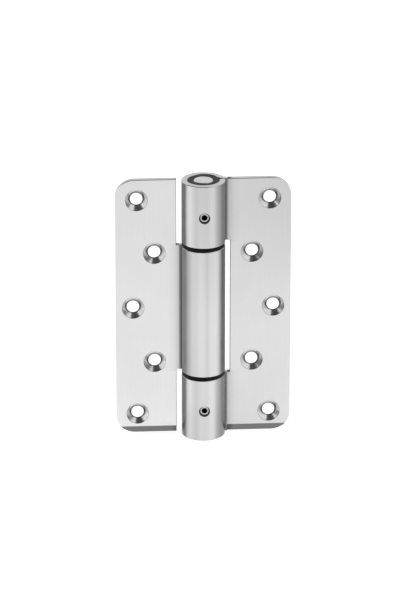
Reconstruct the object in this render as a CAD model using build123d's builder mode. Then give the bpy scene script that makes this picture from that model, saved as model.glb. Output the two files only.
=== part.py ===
from build123d import *
import os
from math import asin, atan2, degrees, sqrt

# Three-knuckle door hinge in rolled sheet steel, laid flat open and upright.
# The pin lies on Z, the leaves reach to -X and +X, and the screw heads and the
# seam of the roll face -Y. The origin is on the pin axis at mid height.

# Leaves
hinge_height = 140.0
open_width = 90.0
sheet = 3.0
corner_radius = 10.0
leaf_setback = 1.0
slot_width = 2.5
edge_break = 0.25

# Barrel
barrel_diameter = 22.5
bend_radius = 3.0
seam_gap = 0.2
outer_knuckle_length = 33.5
knuckle_gap = 2.0

# Countersunk holes, two rows in a zigzag
screw_hole_diameter = 6.4
countersink_diameter = 11.4
countersink_angle = 90.0
end_hole_from_side = 11.0
end_hole_from_end = 11.0
inner_hole_from_side = 20.0
inner_hole_pitch = 60.0
middle_hole_from_side = 9.0

# Long bevel on the front of each leaf's lower edge
foot_bevel_height = 3.8
foot_bevel_depth = 1.5

# Pin
pin_diameter = 10.0
pin_recess = 0.1
pin_chamfer = 0.3
pin_spot_depth = 0.4

# Polymer sleeves and flanged bushes
fitted_gap = 0.03
running_gap = 0.05
sleeve_recess = 0.3
bush_length = 25.0
bush_lead_chamfer = 0.6
flange_inset = 0.25
flange_running_gap = 0.1
flange_edge_chamfer = 0.3

# Grub screws, M5
grub_diameter = 5.0
grub_head_recess = 0.6
grub_head_chamfer = 0.4
grub_point_chamfer = 0.8
grub_seat_gap = 0.05
hex_across_flats = 2.5
hex_depth = 3.0
sleeve_hole_gap = 0.3

# Levels and radii that follow
half_height = hinge_height / 2
leaf_edge = open_width / 2
leaf_front = leaf_setback
leaf_back = leaf_front + sheet
barrel_radius = barrel_diameter / 2
bore_radius = barrel_radius - sheet
pin_radius = pin_diameter / 2
slot_edge = barrel_radius + slot_width
outer_knuckle_end = half_height - outer_knuckle_length
middle_knuckle_end = outer_knuckle_end - knuckle_gap

# The joggle that carries the sheet from the leaf on to the barrel turns about
# a centre one bend radius behind the leaf and one outside the barrel
bend_y = leaf_back + bend_radius
bend_x = sqrt((barrel_radius + bend_radius) ** 2 - bend_y**2)
bend_angle = degrees(atan2(bend_y, bend_x))
bend_sweep = 90 - bend_angle

# The roll stops just short of the leaf's front face
seam_angle = degrees(asin((leaf_front - seam_gap) / barrel_radius))
roll_sweep = 360 + seam_angle - bend_angle

# Grub screws stand at the middle of each outer knuckle, their heads just below
# its surface and their points in the pin
grub_level = half_height - outer_knuckle_length / 2
grub_head_y = grub_head_recess - barrel_radius
grub_point_y = pin_spot_depth - pin_radius - grub_seat_gap
grub_length = grub_point_y - grub_head_y
pin_spot_radius = grub_diameter / 2 - grub_point_chamfer + pin_spot_depth + grub_seat_gap

os.makedirs("parts", exist_ok=True)

# Section of the sheet seen along the pin: flat leaf, joggle and rolled knuckle
with BuildSketch() as rolled_sheet:
    with BuildLine():
        outer_edge = Line((leaf_edge, leaf_front), (leaf_edge, leaf_back))
        back_face = Line(outer_edge @ 1, (bend_x, leaf_back))
        inner_bend = CenterArc((bend_x, bend_y), bend_radius, 270, -bend_sweep)
        roll_outside = CenterArc((0, 0), barrel_radius, bend_angle, roll_sweep)
        roll_inside = CenterArc((0, 0), bore_radius, bend_angle, roll_sweep)
        roll_end = Line(roll_outside @ 1, roll_inside @ 1)
        outer_bend = CenterArc((bend_x, bend_y), bend_radius + sheet, 270, -bend_sweep)
        front_face = Line(outer_bend @ 0, outer_edge @ 0)
    make_face()

# Wedge of metal that the long bevel takes off, drawn well past the two faces
with BuildSketch(Plane.YZ.offset(bend_x)) as foot_wedge:
    with BuildLine():
        Polyline(
            (leaf_front - foot_bevel_depth, foot_bevel_height * 2 - half_height),
            (leaf_front - foot_bevel_depth, -foot_bevel_height - half_height),
            (leaf_front + foot_bevel_depth * 2, -foot_bevel_height - half_height),
            close=True,
        )
    make_face()

# Screw holes of the leaf on the +X side, as X and Z on its front face
screw_hole_places = [
    (leaf_edge - end_hole_from_side, half_height - end_hole_from_end),
    (leaf_edge - inner_hole_from_side, inner_hole_pitch / 2),
    (leaf_edge - middle_hole_from_side, 0),
    (leaf_edge - inner_hole_from_side, -inner_hole_pitch / 2),
    (leaf_edge - end_hole_from_side, end_hole_from_end - half_height),
]


def sheared_edges(leaf):
    """Edges round both faces of the sheet, but not those along the roll."""
    arcs = leaf.edges().filter_by(GeomType.CIRCLE)
    level = leaf.edges().filter_by(Axis.X)
    upright = leaf.edges().filter_by(Axis.Z)
    return arcs + level + upright.filter_by_position(Axis.X, slot_edge, leaf_edge)


def rolled_leaf(slot_levels, slot_height):
    """A leaf on the +X side with its rolled knuckles left between slots."""
    with BuildPart() as leaf:
        add(rolled_sheet.sketch)
        extrude(amount=half_height, both=True)
        fillet(leaf.edges().filter_by(Axis.Y).group_by(Axis.X)[-1], corner_radius)
        with BuildSketch(Plane.XZ):
            with Locations(*[(0, level) for level in slot_levels]):
                Rectangle(2 * slot_edge, slot_height)
        extrude(amount=barrel_diameter, both=True, mode=Mode.SUBTRACT)
        chamfer(sheared_edges(leaf), edge_break)
        extrude(foot_wedge.sketch, amount=leaf_edge, mode=Mode.SUBTRACT)
        with Locations(Plane.XZ.offset(-leaf_front)):
            with Locations(*screw_hole_places):
                CounterSinkHole(
                    radius=screw_hole_diameter / 2,
                    counter_sink_radius=countersink_diameter / 2,
                    counter_sink_angle=countersink_angle,
                )
    return leaf.part


# Right leaf: one slot leaves its two outer knuckles, and the front of each is
# tapped for a grub screw
with BuildPart() as right_leaf:
    add(rolled_leaf([0], 2 * outer_knuckle_end))
    with Locations(Plane.XZ.offset(barrel_radius)):
        with Locations((0, grub_level), (0, -grub_level)):
            Hole(radius=grub_diameter / 2 + fitted_gap, depth=barrel_radius)

right_leaf.part.label = "right_leaf"
export_step(right_leaf.part, "parts/right_leaf.step")

# Left leaf: a slot at each end leaves the middle knuckle
end_slot_height = half_height - middle_knuckle_end
end_slot_level = half_height - end_slot_height / 2
with BuildPart() as left_leaf:
    mirror(rolled_leaf([end_slot_level, -end_slot_level], end_slot_height), about=Plane.YZ)

left_leaf.part.label = "left_leaf"
export_step(left_leaf.part, "parts/left_leaf.step")

# Hinge pin: one bar through all three knuckles, with a drilled spot for the
# point of each grub screw
with BuildPart() as hinge_pin:
    with BuildSketch():
        Circle(pin_radius)
    extrude(amount=half_height - pin_recess, both=True)
    chamfer(hinge_pin.edges().filter_by(GeomType.CIRCLE), pin_chamfer)
    with Locations(Plane.XZ.offset(pin_radius)):
        with Locations((0, grub_level), (0, -grub_level)):
            Hole(radius=pin_spot_radius, depth=pin_spot_depth)

hinge_pin.part.label = "hinge_pin"
export_step(hinge_pin.part, "parts/hinge_pin.step")

# Sleeve of black polymer between the pin and the upper knuckle, drilled for
# the grub screw that passes through it
with BuildPart() as upper_sleeve:
    with BuildSketch(Plane.XY.offset(outer_knuckle_end)):
        Circle(bore_radius - fitted_gap)
        Circle(pin_radius + fitted_gap, mode=Mode.SUBTRACT)
    extrude(amount=outer_knuckle_length - sleeve_recess)
    with Locations(Plane.XZ.offset(barrel_radius)):
        with Locations((0, grub_level)):
            Hole(radius=grub_diameter / 2 + sleeve_hole_gap, depth=barrel_radius)

# Flanged bush of black polymer in the top of the middle knuckle, its section
# turned about the pin: the flange is the washer between two knuckles, and the
# outer edge of the tip is bevelled to lead it into the bore
bush_inside = pin_radius + running_gap
bush_outside = bore_radius - fitted_gap
bush_tip = middle_knuckle_end - bush_length
flange_radius = barrel_radius - flange_inset
flange_face = outer_knuckle_end - flange_running_gap
with BuildPart() as upper_flange_bush:
    with BuildSketch(Plane.XZ) as bush_section:
        with BuildLine():
            Polyline(
                (bush_inside, flange_face),
                (flange_radius, flange_face),
                (flange_radius, middle_knuckle_end),
                (bush_outside, middle_knuckle_end),
                (bush_outside, bush_tip),
                (bush_inside, bush_tip),
                close=True,
            )
        make_face()
        chamfer(bush_section.vertices().group_by(Axis.X)[-1], flange_edge_chamfer)
        chamfer(bush_section.vertices().group_by(Axis.Y)[0].sort_by(Axis.X)[-1], bush_lead_chamfer)
    revolve(axis=Axis.Z)

# Upper grub screw: hexagon socket in its head, both ends bevelled, its point on
# the pin
grub_head = Plane((0, grub_head_y, grub_level), x_dir=(1, 0, 0), z_dir=(0, -1, 0))
with BuildPart() as upper_grub_screw:
    with BuildSketch(grub_head):
        Circle(grub_diameter / 2)
    extrude(amount=-grub_length)
    chamfer(upper_grub_screw.edges().group_by(Axis.Y)[0], grub_head_chamfer)
    chamfer(upper_grub_screw.edges().group_by(Axis.Y)[-1], grub_point_chamfer)
    with BuildSketch(grub_head):
        RegularPolygon(hex_across_flats / 2, 6, major_radius=False)
    extrude(amount=-hex_depth, mode=Mode.SUBTRACT)

# The lower sleeve, bush and grub screw are the upper ones turned end for end
end_pieces = {
    "sleeve": upper_sleeve,
    "flange_bush": upper_flange_bush,
    "grub_screw": upper_grub_screw,
}
for piece_name, upper_piece in end_pieces.items():
    with BuildPart() as lower_piece:
        mirror(upper_piece.part, about=Plane.XY)
    upper_piece.part.label = f"upper_{piece_name}"
    lower_piece.part.label = f"lower_{piece_name}"
    export_step(upper_piece.part, f"parts/upper_{piece_name}.step")
    export_step(lower_piece.part, f"parts/lower_{piece_name}.step")
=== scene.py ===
from math import cos, radians, sin

import bpy
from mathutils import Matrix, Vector


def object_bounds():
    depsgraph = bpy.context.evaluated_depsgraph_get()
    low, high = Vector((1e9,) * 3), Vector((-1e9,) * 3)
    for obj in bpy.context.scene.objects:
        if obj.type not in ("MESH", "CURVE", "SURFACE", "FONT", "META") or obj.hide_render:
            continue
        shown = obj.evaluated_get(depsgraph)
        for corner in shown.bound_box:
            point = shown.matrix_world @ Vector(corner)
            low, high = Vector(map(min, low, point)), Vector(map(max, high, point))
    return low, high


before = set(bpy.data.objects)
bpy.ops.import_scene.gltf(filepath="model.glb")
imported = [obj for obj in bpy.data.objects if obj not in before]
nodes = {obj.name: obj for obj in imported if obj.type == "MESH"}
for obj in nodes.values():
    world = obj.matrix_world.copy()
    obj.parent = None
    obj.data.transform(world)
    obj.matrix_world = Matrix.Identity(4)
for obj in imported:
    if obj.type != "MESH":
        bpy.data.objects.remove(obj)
cad_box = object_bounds()

# Leaves with their knuckles. Each is one blank of 3 mm stainless sheet, rolled
# round the pin and drawn along a fine abrasive belt, so that the grain runs up
# the hinge. The countersinks and the bevel at the foot are cut last.


def hex_colour(code):
    """An sRGB hex colour as Blender's linear red, green, blue and alpha."""
    shares = [int(code[i : i + 2], 16) / 255 for i in (1, 3, 5)]
    return (*[s / 12.92 if s <= 0.04045 else ((s + 0.055) / 1.055) ** 2.4 for s in shares], 1)


def add_node(tree, kind, inputs=None, **settings):
    """Adds a node with its settings, and its inputs as values or as sockets to link."""
    node = tree.nodes.new(kind)
    for name, value in settings.items():
        setattr(node, name, value)
    for name, value in (inputs or {}).items():
        if isinstance(value, bpy.types.NodeSocket):
            tree.links.new(value, node.inputs[name])
        else:
            node.inputs[name].default_value = value
    return node


def new_finish(name):
    """An empty material, its node tree and its Principled shader."""
    finish = bpy.data.materials.new(name)
    finish.use_nodes = True
    return finish, finish.node_tree, finish.node_tree.nodes["Principled BSDF"]


def colour_along(tree, measure, marks):
    """Colours laid along a measure: each mark is a place on it and a hex colour."""
    first, last = marks[0][0], marks[-1][0]
    share = add_node(
        tree, "ShaderNodeMapRange", {"Value": measure, "From Min": first, "From Max": last}
    ).outputs[0]
    ramp = add_node(tree, "ShaderNodeValToRGB", {"Fac": share})
    stops = ramp.color_ramp.elements
    while len(stops) < len(marks):
        stops.new(1.0)
    for stop, (mark, code) in zip(stops, marks):
        stop.position = (mark - first) / (last - first)
        stop.color = hex_colour(code)
    return ramp.outputs["Color"]


EVERYWHERE = 1.0


def lay_coats(tree, colour, coats):
    """A colour with coats over it in turn: each is where it lies, its colour and its blend.
    Sockets 6 and 7 are the two colours that are mixed, and output 2 is what they make."""
    for where, coat, blend in coats:
        colour = add_node(
            tree,
            "ShaderNodeMix",
            {0: where, 6: colour, 7: coat},
            data_type="RGBA",
            blend_type=blend,
        ).outputs[2]
    return colour


def dress(names, finish):
    """Puts a finish in every material slot of the named CAD nodes."""
    for name in names:
        for slot in nodes[name].material_slots:
            slot.material = finish


# Round the knuckles lie painted reflections: bands of lighter and darker grey, dark at
# the sides. The ends are turned bright, and the inside of the roll and its seam are
# painted black as shade. The marks are degrees from the front towards the leaf.
KNUCKLE_REFLECTION_MARKS = {
    "left_leaf": (
        (-180, "#cccccc"), (-160, "#d4d4d4"), (-142, "#c8c8c8"), (-110, "#b4b4b4"),
        (-72, "#6e6e6e"), (-56, "#6a6a6a"), (-48, "#9a9a9a"), (-40, "#c6c6c6"),
        (-32, "#d9d9d9"), (-16, "#d9d9d9"), (-7, "#cdcdcd"), (2, "#d9d9d9"),
        (12, "#d9d9d9"), (22, "#cdcdcd"), (33, "#c9c9c9"), (45, "#acacac"),
        (58, "#8a8a8a"), (80, "#848484"), (96, "#959595"), (115, "#b4b4b4"),
        (142, "#cacaca"), (162, "#d6d6d6"), (180, "#cccccc"),
    ),
    "right_leaf": (
        (-180, "#cccccc"), (-160, "#d4d4d4"), (-142, "#c8c8c8"), (-110, "#b4b4b4"),
        (-72, "#767676"), (-60, "#747474"), (-50, "#cacaca"), (-41, "#dadada"),
        (-22, "#c9c9c9"), (-10, "#d6d6d6"), (7, "#d6d6d6"), (20, "#dfdfdf"),
        (27, "#d6d6d6"), (35, "#b6b6b6"), (45, "#9e9e9e"), (60, "#8a8a8a"),
        (80, "#808080"), (96, "#818181"), (115, "#b4b4b4"), (142, "#cacaca"),
        (162, "#d6d6d6"), (180, "#cccccc"),
    ),
}
ROLL_INSIDE = 0.0110
ROLL_SHADE = "#1c1c1c"
END_FACE = 0.7
TURNED_END = "#bebebe"


def knuckle_colour(tree, split, facing, leaf_name, leaf_side):
    """The knuckles of a leaf: painted reflections, turned ends and painted shade in the roll."""
    leafward = add_node(
        tree, "ShaderNodeMath", {0: split["X"], 1: leaf_side}, operation="MULTIPLY"
    ).outputs[0]
    forward = add_node(
        tree, "ShaderNodeMath", {0: split["Y"], 1: -1.0}, operation="MULTIPLY"
    ).outputs[0]
    turn = add_node(
        tree, "ShaderNodeMath", {0: leafward, 1: forward}, operation="ARCTAN2"
    ).outputs[0]
    turn_degrees = add_node(tree, "ShaderNodeMath", {0: turn}, operation="DEGREES").outputs[0]
    across = add_node(
        tree, "ShaderNodeCombineXYZ", {"X": split["X"], "Y": split["Y"]}
    ).outputs["Vector"]
    from_pin = add_node(
        tree, "ShaderNodeVectorMath", {0: across}, operation="LENGTH"
    ).outputs["Value"]
    in_roll = add_node(
        tree, "ShaderNodeMath", {0: from_pin, 1: ROLL_INSIDE}, operation="LESS_THAN"
    ).outputs[0]
    upright = add_node(tree, "ShaderNodeMath", {0: facing["Z"]}, operation="ABSOLUTE").outputs[0]
    end_face = add_node(
        tree, "ShaderNodeMath", {0: upright, 1: END_FACE}, operation="GREATER_THAN"
    ).outputs[0]
    return lay_coats(
        tree,
        colour_along(tree, turn_degrees, KNUCKLE_REFLECTION_MARKS[leaf_name]),
        (
            # painted shade inside the roll and in its seam
            (in_roll, hex_colour(ROLL_SHADE), "MIX"),
            (end_face, hex_colour(TURNED_END), "MIX"),
        ),
    )


# The flat of each leaf keeps its mill finish behind. In front, painted light and shade lie
# up the left leaf, and painted shade on the face beside the barrel. The sheared edges are
# dull, with painted shade darkening them, most in the slots, and the bevel at the foot is
# painted dark as shade.
BEND_START = 0.0124
SLOT_EDGE = 0.0138
OUTER_EDGES = 0.015
# Painted light and shade up the left leaf: lighter at the foot and the top, darkest just below
# the middle. The right leaf is one even colour.
PLATE_SHADING_MARKS = {
    "left_leaf": (
        (-0.066, "#ededed"), (-0.045, "#e4e4e4"), (-0.015, "#dfdfdf"),
        (0.012, "#e3e3e3"), (0.040, "#e5e5e5"), (0.066, "#eaeaea"),
    ),
    "right_leaf": ((-0.066, "#dbdbdb"), (0.066, "#dbdbdb")),
}
# Painted shade on the front of each leaf beside the barrel, darkest at the bend
BARREL_SHADE = (
    (BEND_START, "#d2d2d2"), (0.0133, "#e4e4e4"), (0.0143, "#f0f0f0"),
    (0.0160, "#fafafa"), (0.0185, "#ffffff"),
)
# Dull sheared edges, with painted shade darkening them towards the barrel, most in the slots
EDGE_SHADE_MARKS = {
    "left_leaf": ((BEND_START, "#707070"), (SLOT_EDGE, "#7c7c7c"), (OUTER_EDGES, "#b8b8b8")),
    "right_leaf": ((BEND_START, "#4c4c4c"), (SLOT_EDGE, "#545454"), (OUTER_EDGES, "#b8b8b8")),
}
# The bevel at the foot, painted dark as shade, darkest beside the barrel
BEVEL_SHADE_MARKS = ((BEND_START, "#4c4c4c"), (0.016, "#7c7c7c"))
KNUCKLE_JOINT = 0.0355
BESIDE_KNUCKLE = {"left_leaf": "LESS_THAN", "right_leaf": "GREATER_THAN"}
LEAF_BACK = 0.0038
MILL_BACK = "#c4c4c4"
SHEARED_FACE = 0.5
BEVEL_TOP = -0.0662
BEVEL_BACK = 0.0032


def plate_colour(tree, split, facing, side, front, leaf_name):
    """The flat of a leaf: front, back, sheared edges and the bevel at its foot."""
    level = add_node(tree, "ShaderNodeMath", {0: split["Z"]}, operation="ABSOLUTE").outputs[0]
    beside_knuckle = add_node(
        tree, "ShaderNodeMath", {0: level, 1: KNUCKLE_JOINT}, operation=BESIDE_KNUCKLE[leaf_name]
    ).outputs[0]
    front_colour = add_node(
        tree,
        "ShaderNodeMix",
        {
            0: beside_knuckle,
            6: colour_along(tree, split["Z"], PLATE_SHADING_MARKS[leaf_name]),
            7: colour_along(tree, side, BARREL_SHADE),
        },
        data_type="RGBA",
        blend_type="MULTIPLY",
    ).outputs[2]
    outward = add_node(tree, "ShaderNodeMath", {0: facing["Y"]}, operation="ABSOLUTE").outputs[0]
    sheared = add_node(
        tree, "ShaderNodeMath", {0: outward, 1: SHEARED_FACE}, operation="LESS_THAN"
    ).outputs[0]
    under_bevel = add_node(
        tree, "ShaderNodeMath", {0: split["Z"], 1: BEVEL_TOP}, operation="LESS_THAN"
    ).outputs[0]
    before_back = add_node(
        tree, "ShaderNodeMath", {0: split["Y"], 1: BEVEL_BACK}, operation="LESS_THAN"
    ).outputs[0]
    on_bevel = add_node(
        tree, "ShaderNodeMath", {0: under_bevel, 1: before_back}, operation="MULTIPLY"
    ).outputs[0]
    return lay_coats(
        tree,
        hex_colour(MILL_BACK),
        (
            (front, front_colour, "MIX"),
            (sheared, colour_along(tree, side, EDGE_SHADE_MARKS[leaf_name]), "MIX"),
            (on_bevel, colour_along(tree, side, BEVEL_SHADE_MARKS), "MIX"),
        ),
    )


# Countersinks: a bright cone with a thin line of painted shade round its mouth, and a ring
# of painted shade round the drilled hole, wider above it. The places are sideways and up
# from the middle of the hinge, and the marks are distances from them.
HOLE_PLACES = (
    (0.034, 0.059), (0.025, 0.030), (0.036, 0.0), (0.025, -0.030), (0.034, -0.059),
)
COUNTERSINK_RADIUS = 0.0057
FRESH_CUT = "#e2e2e2"
MOUTH_SHADE_LINE = ((0.0054, "#ffffff"), (0.0057, "#c0c0c0"), (0.0059, "#ffffff"))
HOLE_SHADE_RING = ((0.0036, "#7e7e7e"), (0.0040, "#8e8e8e"), (0.0044, "#ffffff"))
HOLE_SHADE_RISE = 0.0007


def from_nearest_hole(tree, side, height, rise):
    """Distance on a leaf's face from the nearest screw hole's middle, moved up by a rise."""
    place = add_node(tree, "ShaderNodeCombineXYZ", {"X": side, "Z": height}).outputs["Vector"]
    nearest = None
    for hole_x, hole_z in HOLE_PLACES:
        distance = add_node(
            tree,
            "ShaderNodeVectorMath",
            {0: place, 1: (hole_x, 0.0, hole_z + rise)},
            operation="DISTANCE",
        ).outputs["Value"]
        if nearest:
            distance = add_node(
                tree, "ShaderNodeMath", {0: nearest, 1: distance}, operation="MINIMUM"
            ).outputs[0]
        nearest = distance
    return nearest


# The mouths of the tapped holes for the grub screws carry painted shade, darker below. One
# screw stands as far above mid height as the other below it, so wrapping the
# height by their pitch lays both over the lower one.
GRUB_PITCH = 0.1065
THREAD_MOUTH_SHADE = ((0.0025, "#585858"), (0.0028, "#6c6c6c"), (0.0030, "#ffffff"))
THREAD_SHADE_DROP = 0.00035


def wrapped_place(tree, split):
    """A place as seen from the front, with its height wrapped by the grub screws' pitch."""
    height = add_node(
        tree, "ShaderNodeMath", {0: split["Z"], 1: 0.0, 2: -GRUB_PITCH}, operation="WRAP"
    ).outputs[0]
    return add_node(
        tree, "ShaderNodeCombineXYZ", {"X": split["X"], "Z": height}
    ).outputs["Vector"]


# Hair lines of the belt and the faint unevenness of finishing by hand. Real belt
# lines are under 0.1 mm wide, too fine to show, so these are drawn coarser.
# Blender's noise lies mostly between 0.3 and 0.7.
GRAIN_WIDTH = 0.0003
GRAIN_LENGTH = 0.030
GRAIN_DEPTH = 0.00001
UNEVEN_SIZE = 0.030
NOISE_LOW = 0.3
NOISE_HIGH = 0.7
WEAR_MARKS = ((NOISE_LOW, "#fafafa"), (NOISE_HIGH, "#ffffff"))
BELT_ROUGHNESS = (0.27, 0.31)
CUT_ROUGHNESS = 0.2

# Belt-brushed stainless steel: a soft even sheen with faint hair lines up the
# piece, which the crisp, smoother countersinks and the dull cut edges, darkened with painted
# shade, set off
for leaf_name, leaf_side in (("left_leaf", -1), ("right_leaf", 1)):
    leaf_finish, tree, steel = new_finish(f"belt_brushed_stainless_{leaf_name}")
    surface = add_node(tree, "ShaderNodeTexCoord").outputs
    split = add_node(tree, "ShaderNodeSeparateXYZ", {"Vector": surface["Object"]}).outputs
    facing = add_node(tree, "ShaderNodeSeparateXYZ", {"Vector": surface["Normal"]}).outputs
    side = add_node(tree, "ShaderNodeMath", {0: split["X"]}, operation="ABSOLUTE").outputs[0]
    beside_barrel = add_node(
        tree, "ShaderNodeMath", {0: side, 1: BEND_START}, operation="GREATER_THAN"
    ).outputs[0]
    front = add_node(
        tree, "ShaderNodeMath", {0: split["Y"], 1: LEAF_BACK}, operation="LESS_THAN"
    ).outputs[0]
    before_pin = add_node(
        tree, "ShaderNodeMath", {0: split["Y"], 1: 0.0}, operation="LESS_THAN"
    ).outputs[0]
    from_mouth = from_nearest_hole(tree, side, split["Z"], 0.0)
    from_shade_ring = from_nearest_hole(tree, side, split["Z"], HOLE_SHADE_RISE)
    near_hole = add_node(
        tree, "ShaderNodeMath", {0: from_mouth, 1: COUNTERSINK_RADIUS}, operation="LESS_THAN"
    ).outputs[0]
    in_countersink = add_node(
        tree, "ShaderNodeMath", {0: near_hole, 1: front}, operation="MULTIPLY"
    ).outputs[0]
    from_thread = add_node(
        tree,
        "ShaderNodeVectorMath",
        {0: wrapped_place(tree, split), 1: (0.0, 0.0, -GRUB_PITCH / 2 - THREAD_SHADE_DROP)},
        operation="DISTANCE",
    ).outputs["Value"]
    grain_place = add_node(
        tree,
        "ShaderNodeMapping",
        {
            "Vector": surface["Object"],
            "Scale": (1 / GRAIN_WIDTH, 1 / GRAIN_WIDTH, 1 / GRAIN_LENGTH),
        },
    ).outputs["Vector"]
    grain = add_node(
        tree,
        "ShaderNodeTexNoise",
        {"Vector": grain_place, "Scale": 1.0, "Detail": 3.0, "Roughness": 0.6},
    ).outputs["Fac"]
    uneven = add_node(
        tree,
        "ShaderNodeTexNoise",
        {"Vector": surface["Object"], "Scale": 1 / UNEVEN_SIZE, "Detail": 2.0},
    ).outputs["Fac"]
    leaf_colour = lay_coats(
        tree,
        knuckle_colour(tree, split, facing, leaf_name, leaf_side),
        (
            (beside_barrel, plate_colour(tree, split, facing, side, front, leaf_name), "MIX"),
            (in_countersink, hex_colour(FRESH_CUT), "MIX"),
            # painted shade: a line round each countersink's mouth, a ring round each drilled
            # hole, and the tapped holes' mouths, darker below
            (front, colour_along(tree, from_mouth, MOUTH_SHADE_LINE), "MULTIPLY"),
            (front, colour_along(tree, from_shade_ring, HOLE_SHADE_RING), "MULTIPLY"),
            (before_pin, colour_along(tree, from_thread, THREAD_MOUTH_SHADE), "MULTIPLY"),
            (EVERYWHERE, colour_along(tree, grain, WEAR_MARKS), "MULTIPLY"),
            (EVERYWHERE, colour_along(tree, uneven, WEAR_MARKS), "MULTIPLY"),
        ),
    )
    brushed_roughness = add_node(
        tree,
        "ShaderNodeMapRange",
        {
            "Value": grain,
            "From Min": NOISE_LOW,
            "From Max": NOISE_HIGH,
            "To Min": BELT_ROUGHNESS[0],
            "To Max": BELT_ROUGHNESS[1],
        },
    ).outputs[0]
    leaf_roughness = add_node(
        tree,
        "ShaderNodeMix",
        {"Factor": in_countersink, "A": brushed_roughness, "B": CUT_ROUGHNESS},
        data_type="FLOAT",
    ).outputs["Result"]
    grain_bump = add_node(
        tree, "ShaderNodeBump", {"Height": grain, "Strength": 0.1, "Distance": GRAIN_DEPTH}
    ).outputs["Normal"]
    tree.links.new(leaf_colour, steel.inputs["Base Color"])
    tree.links.new(leaf_roughness, steel.inputs["Roughness"])
    tree.links.new(grain_bump, steel.inputs["Normal"])
    steel.inputs["Metallic"].default_value = 1.0
    dress([leaf_name], leaf_finish)

# Hinge pin: one turned bar of stainless steel, faced at both ends, pushed in
# through all three knuckles and held by the grub screws.
SPECKLE_SIZE = 0.0012

# Turned stainless steel: its ends are a pale, slightly blotched grey. Real tool
# marks are too fine to show, so the blotches are drawn coarser.
pin_finish, tree, steel = new_finish("turned_stainless")
place = add_node(tree, "ShaderNodeTexCoord").outputs["Object"]
speckle = add_node(
    tree, "ShaderNodeTexNoise", {"Vector": place, "Scale": 1 / SPECKLE_SIZE, "Detail": 2.0}
).outputs["Fac"]
pin_colour = add_node(
    tree,
    "ShaderNodeMix",
    {0: speckle, 6: hex_colour("#b6b6b6"), 7: hex_colour("#d4d4d4")},
    data_type="RGBA",
).outputs[2]
tree.links.new(pin_colour, steel.inputs["Base Color"])
steel.inputs["Metallic"].default_value = 1.0
steel.inputs["Roughness"].default_value = 0.3
dress(["hinge_pin"], pin_finish)

# Sleeves and flanged bushes: turned from black acetal, pressed into the
# knuckles. The flange of each bush is the black line between two knuckles.
MOTTLE_SIZE = 0.001

# Turned black acetal: near black with a dull waxy sheen. Its turning marks are too
# fine to show, so they are drawn as a coarser mottle.
polymer_finish, tree, polymer = new_finish("turned_black_acetal")
place = add_node(tree, "ShaderNodeTexCoord").outputs["Object"]
mottle = add_node(
    tree, "ShaderNodeTexNoise", {"Vector": place, "Scale": 1 / MOTTLE_SIZE, "Detail": 2.0}
).outputs["Fac"]
polymer_colour = add_node(
    tree,
    "ShaderNodeMix",
    {0: mottle, 6: hex_colour("#090909"), 7: hex_colour("#131313")},
    data_type="RGBA",
).outputs[2]
tree.links.new(polymer_colour, polymer.inputs["Base Color"])
polymer.inputs["Roughness"].default_value = 0.42
polymer.inputs["IOR"].default_value = 1.48
polymer.inputs["Specular IOR Level"].default_value = 0.12
dress(["upper_sleeve", "lower_sleeve", "upper_flange_bush", "lower_flange_bush"], polymer_finish)

# Grub screws: M5 stainless set screws with a hexagon socket, screwed through the
# outer knuckles until their points lock the pin. Painted shade darkens the
# socket, its rim and the bevel round the head, most of it below.
HEAD_LEVEL = -0.01065
HEAD_FLAT = 0.0002
SCREW_HEAD = "#dcdcdc"
SOCKET_SHADE_MARKS = ((-0.0555, "#222222"), (-0.0510, "#8a8a8a"))
SOCKET_SHADOW_MARKS = ((0.0015, "#303030"), (0.0017, "#ffffff"))
SCUFF_SIZE = 0.0008
SCUFF_MARKS = ((NOISE_LOW, "#d8d8d8"), (NOISE_HIGH, "#ffffff"))

# Machined stainless steel: a small bright ring round a socket painted black as shade. The
# scuffs of the key are drawn coarser than real, so that they show.
screw_finish, tree, steel = new_finish("machined_stainless")
place = add_node(tree, "ShaderNodeTexCoord").outputs["Object"]
split = add_node(tree, "ShaderNodeSeparateXYZ", {"Vector": place}).outputs
wrapped = wrapped_place(tree, split)
wrapped_height = add_node(tree, "ShaderNodeSeparateXYZ", {"Vector": wrapped}).outputs["Z"]
from_axis = add_node(
    tree,
    "ShaderNodeVectorMath",
    {0: wrapped, 1: (0.0, 0.0, -GRUB_PITCH / 2)},
    operation="DISTANCE",
).outputs["Value"]
scuff = add_node(
    tree, "ShaderNodeTexNoise", {"Vector": place, "Scale": 1 / SCUFF_SIZE, "Detail": 2.0}
).outputs["Fac"]
below_head = add_node(
    tree,
    "ShaderNodeMapRange",
    {"Value": split["Y"], "From Min": HEAD_LEVEL, "From Max": HEAD_LEVEL + HEAD_FLAT},
).outputs[0]
screw_colour = lay_coats(
    tree,
    hex_colour(SCREW_HEAD),
    (
        # painted shade on the bevel round the head and in the socket, darker below, then the
        # socket's painted shadow
        (below_head, colour_along(tree, wrapped_height, SOCKET_SHADE_MARKS), "MIX"),
        (EVERYWHERE, colour_along(tree, from_axis, SOCKET_SHADOW_MARKS), "MULTIPLY"),
        (EVERYWHERE, colour_along(tree, scuff, SCUFF_MARKS), "MULTIPLY"),
    ),
)
tree.links.new(screw_colour, steel.inputs["Base Color"])
steel.inputs["Metallic"].default_value = 1.0
steel.inputs["Roughness"].default_value = 0.3
dress(["upper_grub_screw", "lower_grub_screw"], screw_finish)

# Studio floor: a sheet of white card, wide enough to fill the view, lit to white
# all round the hinge and falling off slowly beyond the picture.
FLOOR_SIZE = 8
FLOOR_LEVEL = cad_box[0][2]
WHITE_MIDDLE = (-0.12, 0.30, 0.0)
WHITE_REACH = 0.46
FALL_OFF_END = 0.72
WHITE_GLOW = 0.85
FAR_GLOW = 0.56
bpy.ops.object.select_all(action="DESELECT")
bpy.ops.mesh.primitive_plane_add(size=FLOOR_SIZE, location=(0, 0, FLOOR_LEVEL))
floor = bpy.context.object
floor.name = "floor"

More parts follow.
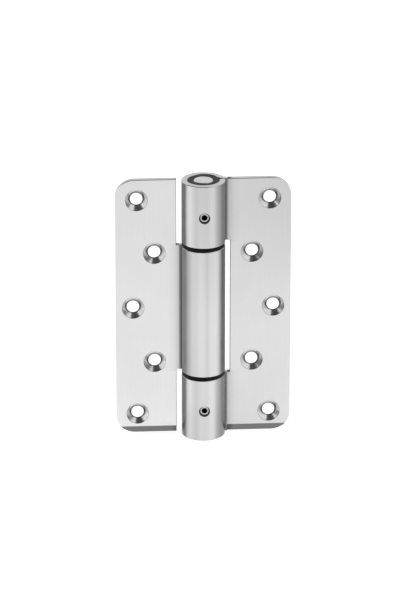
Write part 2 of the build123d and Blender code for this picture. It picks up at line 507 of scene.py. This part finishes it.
# White card: matt, with no sheen, and shown white to the camera and in reflections
floor_finish, tree, card = new_finish("white_card")
ray = add_node(tree, "ShaderNodeLightPath").outputs
seen = ray["Is Camera Ray"]
for other_ray in ("Is Glossy Ray", "Is Transmission Ray"):
    seen = add_node(
        tree, "ShaderNodeMath", {0: seen, 1: ray[other_ray]}, operation="MAXIMUM"
    ).outputs[0]
floor_place = add_node(tree, "ShaderNodeTexCoord").outputs["Object"]
from_middle = add_node(
    tree, "ShaderNodeVectorMath", {0: floor_place, 1: WHITE_MIDDLE}, operation="DISTANCE"
).outputs["Value"]
fill = add_node(
    tree,
    "ShaderNodeMapRange",
    {
        "Value": from_middle,
        "From Min": WHITE_REACH,
        "From Max": FALL_OFF_END,
        "To Min": WHITE_GLOW,
        "To Max": FAR_GLOW,
    },
    interpolation_type="SMOOTHSTEP",
).outputs[0]
glow = add_node(tree, "ShaderNodeMath", {0: seen, 1: fill}, operation="MULTIPLY").outputs[0]
tree.links.new(glow, card.inputs["Emission Strength"])
card.inputs["Emission Color"].default_value = hex_colour("#ffffff")
card.inputs["Base Color"].default_value = hex_colour("#b4b4b4")
card.inputs["Roughness"].default_value = 0.9
card.inputs["Specular IOR Level"].default_value = 0.0
floor.data.materials.append(floor_finish)

# Studio light: white walls all round up to a dark ceiling, which lies a little to
# the left, and one softbox high behind the hinge. The ceiling's edge is given as
# cosines of the angle from its middle, from where it starts to where it is full.
CEILING_MIDDLE = (-0.23, 0.0, 0.973)
CEILING_START = 0.72
CEILING_FULL = 0.80
WALL_STRENGTH = 0.95
CEILING_STRENGTH = 0.055
SOFTBOX_ELEVATION = radians(62)
SOFTBOX_DISTANCE = 1.2
SOFTBOX_SIZE = 0.6
SOFTBOX_POWER = 4
world = bpy.data.worlds.new("studio")
bpy.context.scene.world = world
world.use_nodes = True
tree = world.node_tree
direction = add_node(tree, "ShaderNodeTexCoord").outputs["Generated"]
towards_ceiling = add_node(
    tree, "ShaderNodeVectorMath", {0: direction, 1: CEILING_MIDDLE}, operation="DOT_PRODUCT"
).outputs["Value"]
room_strength = add_node(
    tree,
    "ShaderNodeMapRange",
    {
        "Value": towards_ceiling,
        "From Min": CEILING_START,
        "From Max": CEILING_FULL,
        "To Min": WALL_STRENGTH,
        "To Max": CEILING_STRENGTH,
    },
    interpolation_type="SMOOTHSTEP",
).outputs[0]
tree.links.new(room_strength, tree.nodes["Background"].inputs["Strength"])
tree.nodes["Background"].inputs["Color"].default_value = hex_colour("#ffffff")
towards_softbox = Vector((0, cos(SOFTBOX_ELEVATION), sin(SOFTBOX_ELEVATION)))
bpy.ops.object.light_add(type="AREA", location=towards_softbox * SOFTBOX_DISTANCE)
softbox = bpy.context.object
softbox.name = "softbox"
softbox.data.size = SOFTBOX_SIZE
softbox.data.energy = SOFTBOX_POWER
softbox.rotation_euler = towards_softbox.to_track_quat("Z", "Y").to_euler()

# Camera: a long lens from a little above the hinge and a touch to its left, far
# enough away that the hinge's uprights stay nearly parallel.
CAMERA_DISTANCE = 2.0
CAMERA_AZIMUTH = radians(-3.3)
CAMERA_ELEVATION = radians(22.1)
LENS_MM = 233.9
SENSOR_MM = 36.0
AIM = Vector((-0.0017, 0, 0.0042))
towards_camera = Vector((
    sin(CAMERA_AZIMUTH) * cos(CAMERA_ELEVATION),
    -cos(CAMERA_AZIMUTH) * cos(CAMERA_ELEVATION),
    sin(CAMERA_ELEVATION),
))
bpy.ops.object.camera_add(location=AIM + towards_camera * CAMERA_DISTANCE)
camera = bpy.context.object
camera.rotation_euler = towards_camera.to_track_quat("Z", "Y").to_euler()
camera.data.lens = LENS_MM
camera.data.sensor_width = SENSOR_MM
bpy.context.scene.camera = camera
bpy.context.scene.view_settings.view_transform = "Standard"
